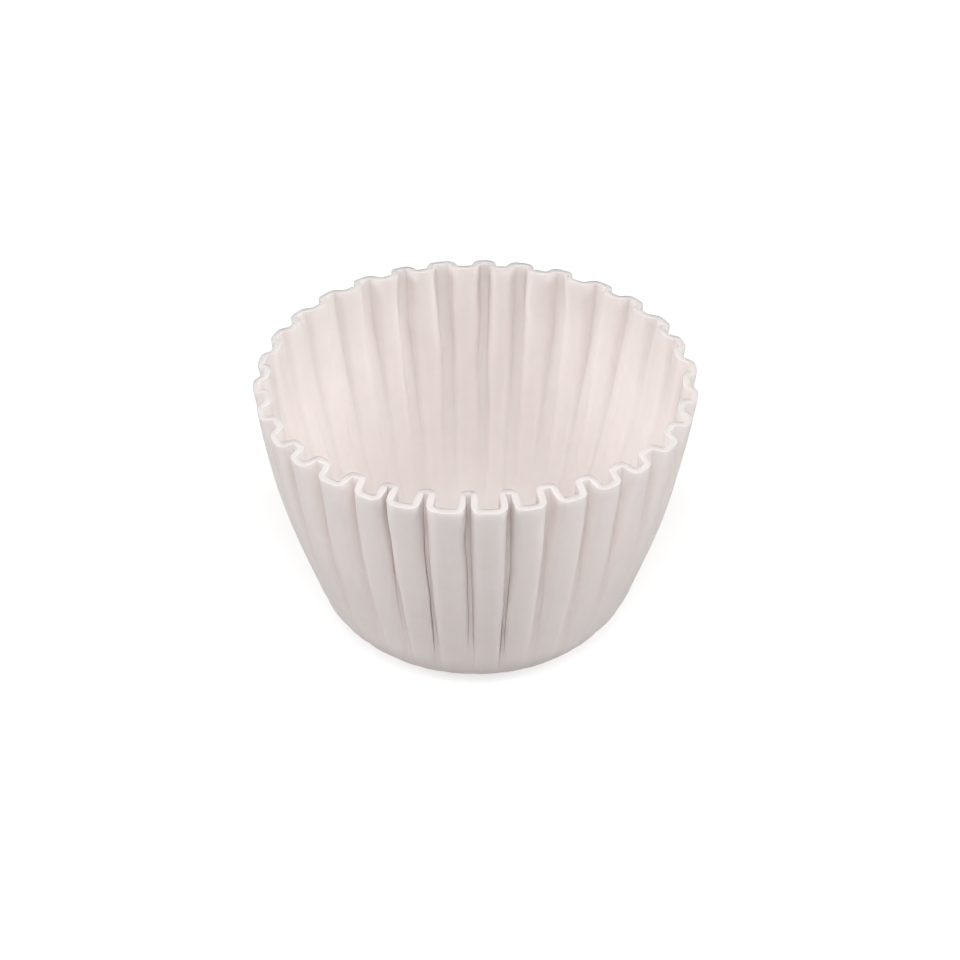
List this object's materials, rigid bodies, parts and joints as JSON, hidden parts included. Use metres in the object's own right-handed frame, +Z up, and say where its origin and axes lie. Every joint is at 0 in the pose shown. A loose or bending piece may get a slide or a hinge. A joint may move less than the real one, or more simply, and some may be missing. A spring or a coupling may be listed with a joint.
{
  "type": "paper candy cup",
  "caption": "Round fluted paper cup with a flat base and an open top, for holding one small sweet or chocolate.",
  "frame": {"origin": "centre of the flat underside, on the surface the cup stands on", "axes": "+Z up, out of the cup's open top; +Y towards the back of the picture's view, +X to its right"},
  "size_m": [0.0494, 0.0494, 0.0323],
  "materials": {
    "paper": "matt, slightly translucent warm white greaseproof paper"
  },
  "bodies": {
    "root": {"cup": "paper"}
  },
  "joints": []
}
